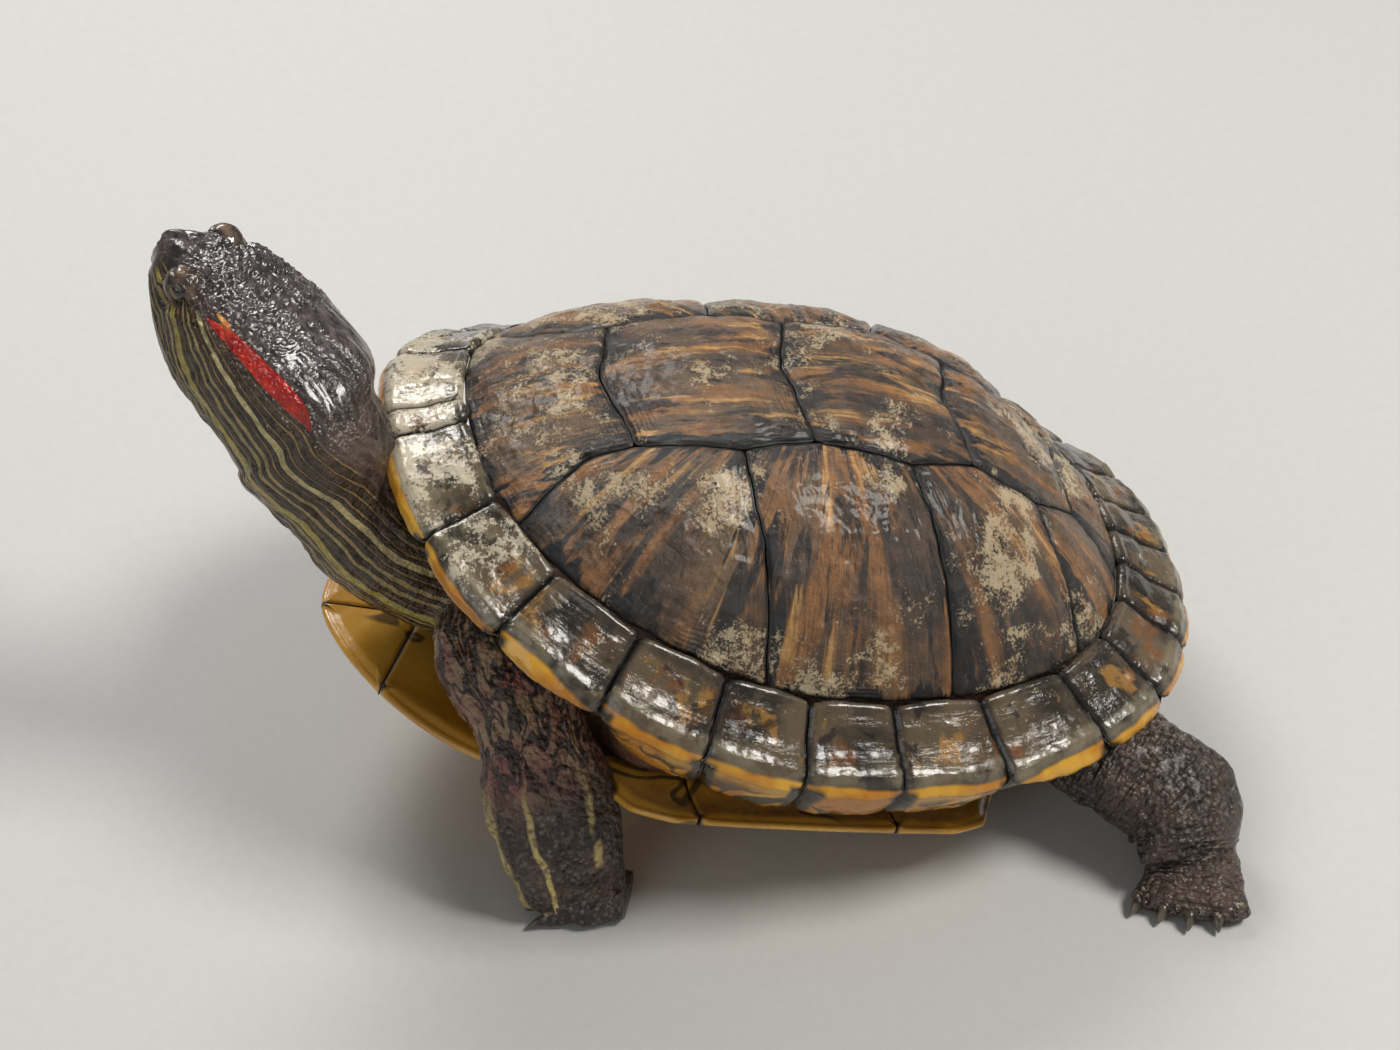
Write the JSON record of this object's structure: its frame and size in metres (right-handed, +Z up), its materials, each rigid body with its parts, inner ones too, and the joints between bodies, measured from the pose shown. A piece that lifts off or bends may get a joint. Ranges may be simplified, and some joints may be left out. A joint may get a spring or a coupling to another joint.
{
  "type": "red-eared slider turtle model",
  "caption": "Life-size still model of an adult red-eared slider turtle, propped on its forelegs with its neck stretched up and its head turned aside.",
  "frame": {"origin": "On the floor, below the middle of the model's box, seen from above.", "axes": "+Z up. The turtle's shell faces -Y, and its left side is +X."},
  "size_m": [0.2061, 0.2694, 0.1523],
  "materials": {
    "carapace": "wet horn, dark olive brown with rust patches and streaks",
    "rim": "wet horn, grey olive with a pale inner edge and a yellow lower edge",
    "plastron": "smooth amber horn with thin dark seams",
    "skin": "dark wet skin, wrinkled, with narrow cream stripes and a red patch behind the eye",
    "eyes": "wet dark eye with an olive-gold iris"
  },
  "bodies": {
    "root": {"vertebral_1": "carapace", "vertebral_2": "carapace", "vertebral_3": "carapace", "vertebral_4": "carapace", "vertebral_5": "carapace", "costal_left_1": "carapace", "costal_left_2": "carapace", "costal_left_3": "carapace", "costal_left_4": "carapace", "costal_right_1": "carapace", "costal_right_2": "carapace", "costal_right_3": "carapace", "costal_right_4": "carapace", "nuchal": "rim", "marginal_left_1": "rim", "marginal_left_2": "rim", "marginal_left_3": "rim", "marginal_left_4": "rim", "marginal_left_5": "rim", "marginal_left_6": "rim", "marginal_left_7": "rim", "marginal_left_8": "rim", "marginal_left_9": "rim", "marginal_left_10": "rim", "marginal_left_11": "rim", "marginal_left_12": "rim", "marginal_right_1": "rim", "marginal_right_2": "rim", "marginal_right_3": "rim", "marginal_right_4": "rim", "marginal_right_5": "rim", "marginal_right_6": "rim", "marginal_right_7": "rim", "marginal_right_8": "rim", "marginal_right_9": "rim", "marginal_right_10": "rim", "marginal_right_11": "rim", "marginal_right_12": "rim", "plastron_gular": "plastron", "plastron_humeral": "plastron", "plastron_pectoral": "plastron", "plastron_abdominal": "plastron", "plastron_femoral": "plastron", "plastron_anal": "plastron", "trunk": "skin", "head": "skin", "neck": "skin", "tail": "skin", "foreleg_left_arm": "skin", "foreleg_left_foot": "skin", "foreleg_right_arm": "skin", "foreleg_right_foot": "skin", "hindleg_left_thigh": "skin", "hindleg_left_foot": "skin", "hindleg_right_thigh": "skin", "hindleg_right_foot": "skin", "eye_left": "eyes", "eye_right": "eyes"}
  },
  "joints": []
}
